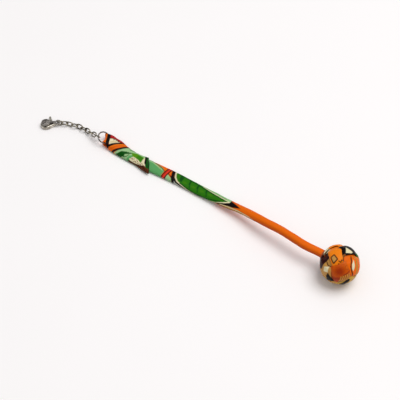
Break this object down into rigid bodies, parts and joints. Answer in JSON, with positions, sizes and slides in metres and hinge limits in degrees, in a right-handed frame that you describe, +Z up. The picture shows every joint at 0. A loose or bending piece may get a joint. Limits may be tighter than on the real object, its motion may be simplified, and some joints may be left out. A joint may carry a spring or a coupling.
{
  "type": "ball charm strap",
  "caption": "Soft printed strap with a woven ball at one end and a ring, cable chain, sprung lobster clasp and small round tag at the other.",
  "frame": {"origin": "on the surface the piece lies on, under the middle of its bounding box", "axes": "+X along the strap from the clasp to the ball, +Z up out of the surface, +Y completes the right-handed frame"},
  "size_m": [0.2336, 0.0278, 0.024],
  "materials": {
    "silk_ball_warm": "satin weave, printed orange",
    "silk_ball_dark": "satin weave, printed dark with cream marks",
    "silk_strap": "satin weave, printed green, orange and black",
    "bead": "turned",
    "thread": "matt sewing thread",
    "filler": "soft wadding",
    "ring_steel": "polished",
    "chain_steel": "polished, warm grey",
    "clasp_steel": "polished, warm grey",
    "spring_steel": "drawn wire",
    "tag_metal": "granulated, darkened"
  },
  "bodies": {
    "strap": {"ball_bead": "bead", "ball_band_1": "silk_ball_warm", "ball_band_2": "silk_ball_warm", "ball_band_3": "silk_ball_dark", "ball_band_4": "silk_ball_dark", "neck_whipping": "thread", "strap_sleeve": "silk_strap", "strap_filler": "filler", "anchor_cord": "filler", "fold_over_end": "silk_strap", "seam_stitches": "thread"},
    "end_ring": {"end_ring": "ring_steel"},
    "chain_link_1": {"chain_link_1": "chain_steel"},
    "chain_link_2": {"chain_link_2": "chain_steel"},
    "chain_link_3": {"chain_link_3": "chain_steel"},
    "chain_link_4": {"chain_link_4": "chain_steel"},
    "chain_link_5": {"chain_link_5": "chain_steel"},
    "chain_link_6": {"chain_link_6": "chain_steel"},
    "chain_link_7": {"chain_link_7": "chain_steel"},
    "chain_link_8": {"chain_link_8": "chain_steel"},
    "chain_link_9": {"chain_link_9": "chain_steel"},
    "clasp_ring": {"clasp_ring": "chain_steel"},
    "clasp": {"clasp_body": "clasp_steel", "clasp_pin": "clasp_steel", "clasp_spring": "spring_steel"},
    "clasp_lever": {"clasp_lever": "clasp_steel"},
    "tag": {"tag": "tag_metal"}
  },
  "joints": [
    {"name": "end_ring_swing", "type": "hinge", "parent": "strap", "child": "end_ring", "pos_m": [-0.0704, 0.0011, 0.00295], "axis": [0, 1, 0], "range_deg": [-25, 48]},
    {"name": "link_1_swing", "type": "hinge", "parent": "end_ring", "child": "chain_link_1", "pos_m": [-0.07621, -0.00134, 0.00631], "axis": [0.0694, -0.844, -0.5318], "range_deg": [-40, 40]},
    {"name": "link_2_swing", "type": "hinge", "parent": "chain_link_1", "child": "chain_link_2", "pos_m": [-0.07941, -0.00078, 0.00499], "axis": [0.3766, 0.5922, -0.7124], "range_deg": [-40, 40]},
    {"name": "link_3_swing", "type": "hinge", "parent": "chain_link_2", "child": "chain_link_3", "pos_m": [-0.08264, -0.00009, 0.00385], "axis": [-0.0813, 0.704, 0.7056], "range_deg": [-40, 40]},
    {"name": "link_4_swing", "type": "hinge", "parent": "chain_link_3", "child": "chain_link_4", "pos_m": [-0.08596, 0.00049, 0.00289], "axis": [-0.1819, -0.7874, 0.589], "range_deg": [-40, 40]},
    {"name": "link_5_swing", "type": "hinge", "parent": "chain_link_4", "child": "chain_link_5", "pos_m": [-0.08939, 0.00085, 0.00231], "axis": [0.0376, -0.5084, -0.8603], "range_deg": [-40, 40]},
    {"name": "link_6_swing", "type": "hinge", "parent": "chain_link_5", "child": "chain_link_6", "pos_m": [-0.09289, 0.00085, 0.00216], "axis": [-0.1893, 0.8905, -0.4138], "range_deg": [-40, 40]},
    {"name": "link_7_swing", "type": "hinge", "parent": "chain_link_6", "child": "chain_link_7", "pos_m": [-0.09631, 0.00013, 0.00216], "axis": [-0.1076, 0.2956, 0.9492], "range_deg": [-40, 40]},
    {"name": "link_8_swing", "type": "hinge", "parent": "chain_link_7", "child": "chain_link_8", "pos_m": [-0.0996, -0.00107, 0.00216], "axis": [0.302, -0.9295, 0.2117], "range_deg": [-40, 40]},
    {"name": "link_9_swing", "type": "hinge", "parent": "chain_link_8", "child": "chain_link_9", "pos_m": [-0.10293, -0.00215, 0.00216], "axis": [0.0532, -0.0922, -0.9943], "range_deg": [-40, 40]},
    {"name": "clasp_ring_swing", "type": "hinge", "parent": "chain_link_9", "child": "clasp_ring", "pos_m": [-0.10596, -0.0039, 0.00216], "axis": [0.6428, -0.766, 0], "range_deg": [-40, 40]},
    {"name": "clasp_swing", "type": "hinge", "parent": "clasp_ring", "child": "clasp", "pos_m": [-0.10787, -0.00551, 0.00216], "axis": [0, 0, 1], "range_deg": [-45, 45]},
    {"name": "lever_open", "type": "hinge", "parent": "clasp", "child": "clasp_lever", "pos_m": [-0.11162, -0.00716, 0.00138], "axis": [0, 0, 1], "range_deg": [0, 25], "stiffness_Nm_per_rad": 0.002, "springref_deg": -17.19},
    {"name": "tag_swing", "type": "hinge", "parent": "clasp_ring", "child": "tag", "pos_m": [-0.1076, -0.00528, 0.00321], "axis": [0.0166, -0.0319, 0.9994], "range_deg": [-20, 20]}
  ]
}
